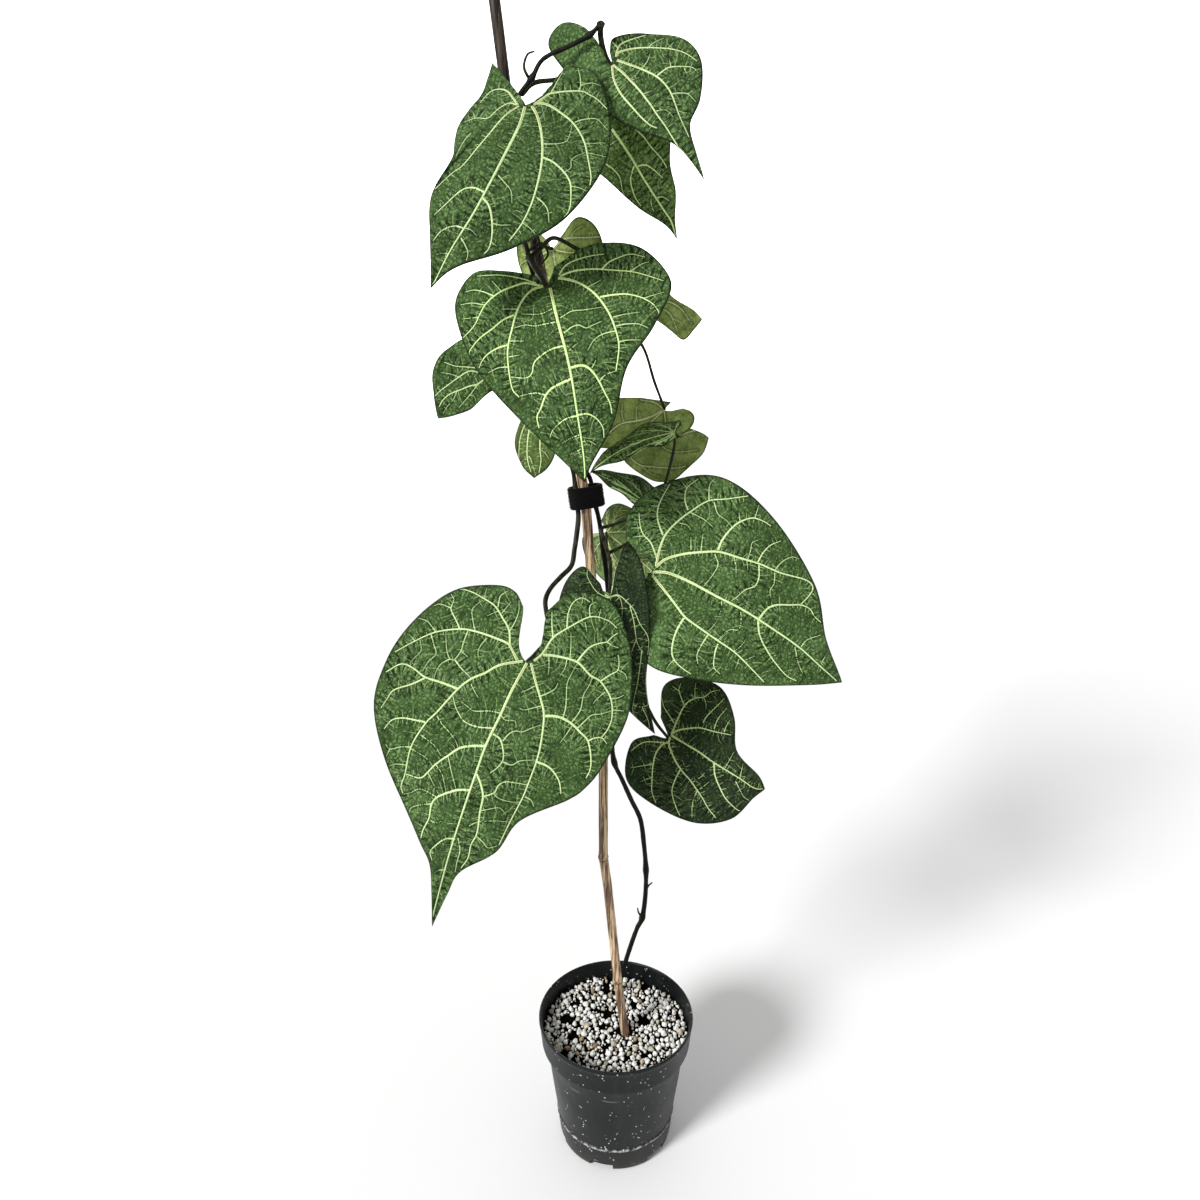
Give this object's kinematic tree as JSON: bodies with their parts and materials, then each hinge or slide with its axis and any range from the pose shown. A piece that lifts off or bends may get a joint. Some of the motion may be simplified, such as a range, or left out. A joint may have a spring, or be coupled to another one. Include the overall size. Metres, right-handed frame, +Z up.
{
  "type": "potted climbing pipevine",
  "caption": "Tall climbing vine with heart-shaped pale-veined leaves, strapped to a leaning bamboo cane in a dark nursery pot with perlite-flecked soil.",
  "frame": {"origin": "middle of the pot's underside, on the surface it stands on", "axes": "+Z up along the pot's axis, -Y towards the side that most leaves face, +X to the right seen from there"},
  "size_m": [0.2904, 0.1715, 0.9054],
  "materials": {
    "pot_plastic": "satin",
    "soil": "matte",
    "perlite": "matte",
    "bamboo": "satin",
    "strap": "matte",
    "stem": "satin",
    "leaf_upper": "satin",
    "leaf_under": "matte"
  },
  "bodies": {
    "root": {"pot": "pot_plastic", "potting_soil": "soil", "perlite_layer": "perlite", "bamboo_cane": "bamboo", "plant_tie": "strap", "vine_stem": "stem", "leaf_crown_left": "leaf_upper", "leaf_crown_right": "leaf_upper", "leaf_crown_back": "leaf_upper", "leaf_middle_front": "leaf_upper", "leaf_low_left": "leaf_upper", "leaf_low_right": "leaf_upper", "leaf_small_right": "leaf_upper", "leaf_low_centre": "leaf_upper", "leaf_middle_left": "leaf_upper", "leaf_folded": "leaf_upper", "leaf_edge_on": "leaf_upper", "leaf_small_hanging": "leaf_under", "leaf_middle_right": "leaf_under", "leaf_back_right": "leaf_under", "leaf_back_upper": "leaf_under", "leaf_back_pale": "leaf_under", "leaf_back_top": "leaf_under"}
  },
  "joints": []
}
